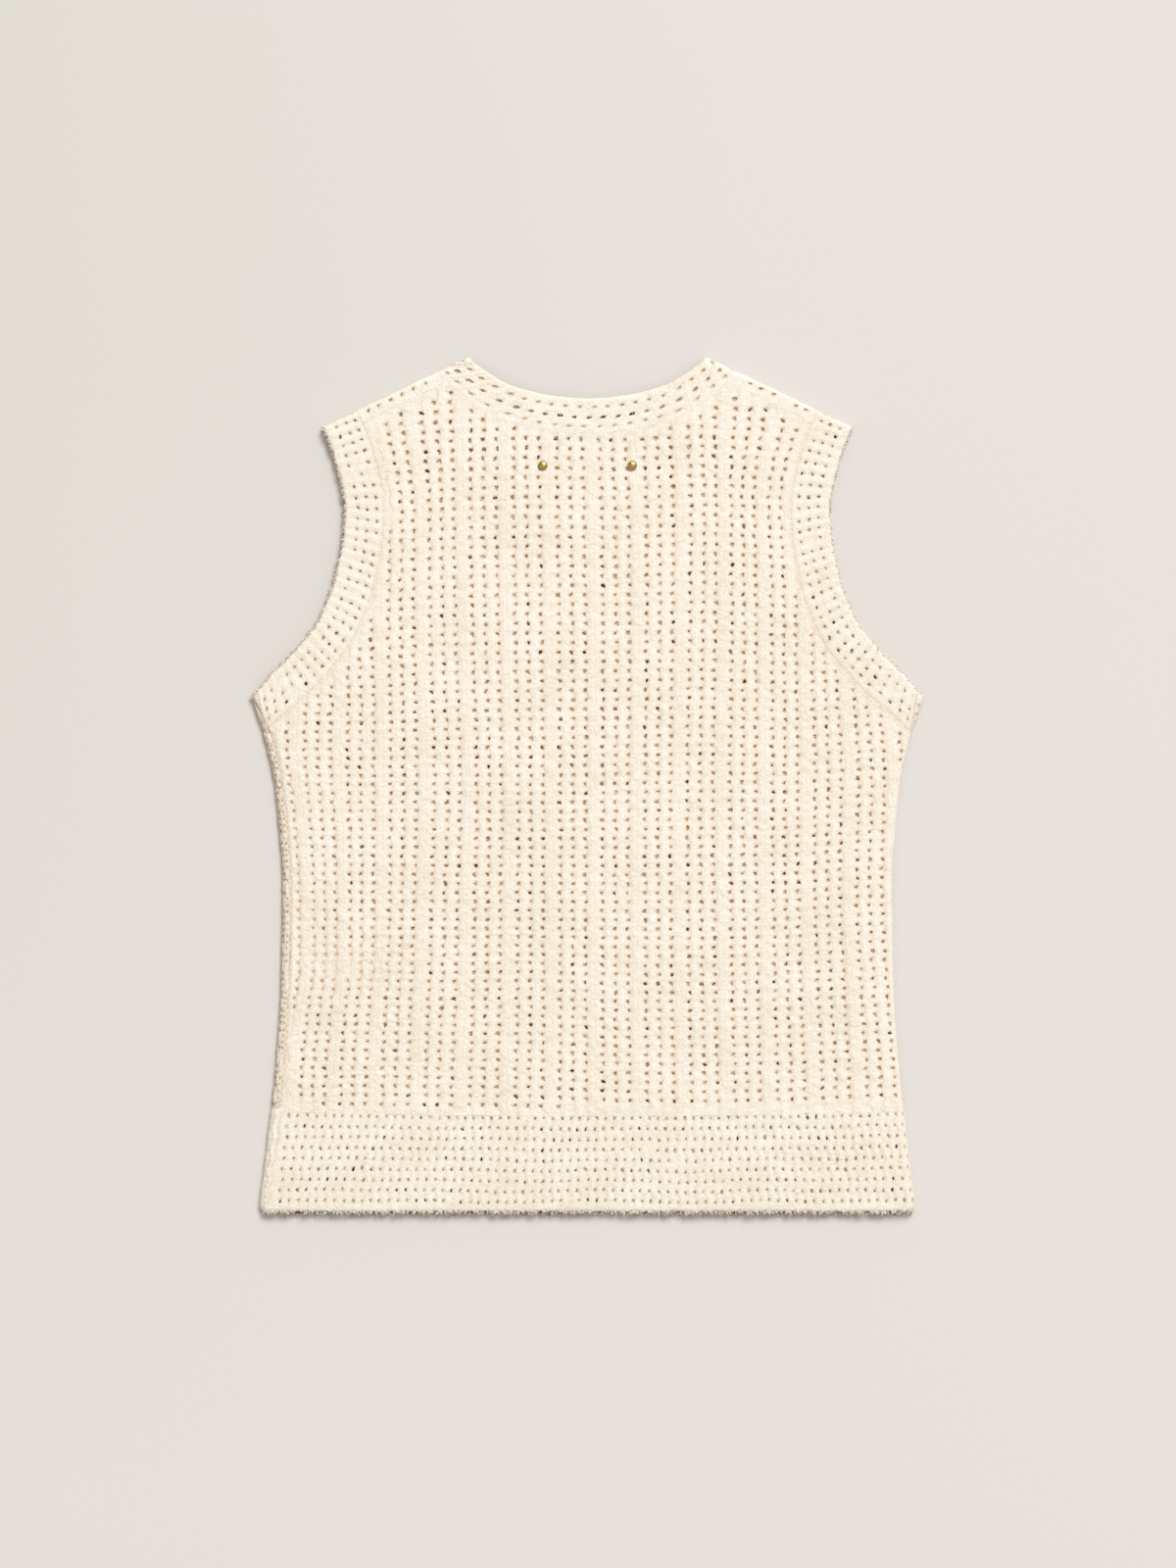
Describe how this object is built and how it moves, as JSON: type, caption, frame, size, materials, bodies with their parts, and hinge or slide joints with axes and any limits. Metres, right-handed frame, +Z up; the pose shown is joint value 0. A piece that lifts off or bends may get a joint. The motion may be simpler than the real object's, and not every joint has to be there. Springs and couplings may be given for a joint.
{
  "type": "sleeveless knit top",
  "caption": "Sleeveless openwork knit top laid flat, back up: ribbed hem, armhole and neck bands, two small round studs.",
  "frame": {"origin": "centre of the laid garment's footprint, on the surface it lies on", "axes": "+Z up from the surface through the garment to its back, +Y from hem to neck, +X to the right when looking down on the back"},
  "size_m": [0.466, 0.5938, 0.0097],
  "materials": {
    "front_knit": "matte",
    "back_knit": "matte",
    "hem_knit": "matte",
    "neck_knit": "matte",
    "armhole_left_knit": "matte",
    "armhole_right_knit": "matte",
    "stud_left_brass": "polished",
    "stud_right_brass": "polished"
  },
  "bodies": {
    "root": {"front_panel": "front_knit", "back_panel": "back_knit", "hem_band": "hem_knit", "neckband": "neck_knit", "armhole_band_left": "armhole_left_knit", "armhole_band_right": "armhole_right_knit", "stud_left": "stud_left_brass", "stud_right": "stud_right_brass"}
  },
  "joints": []
}
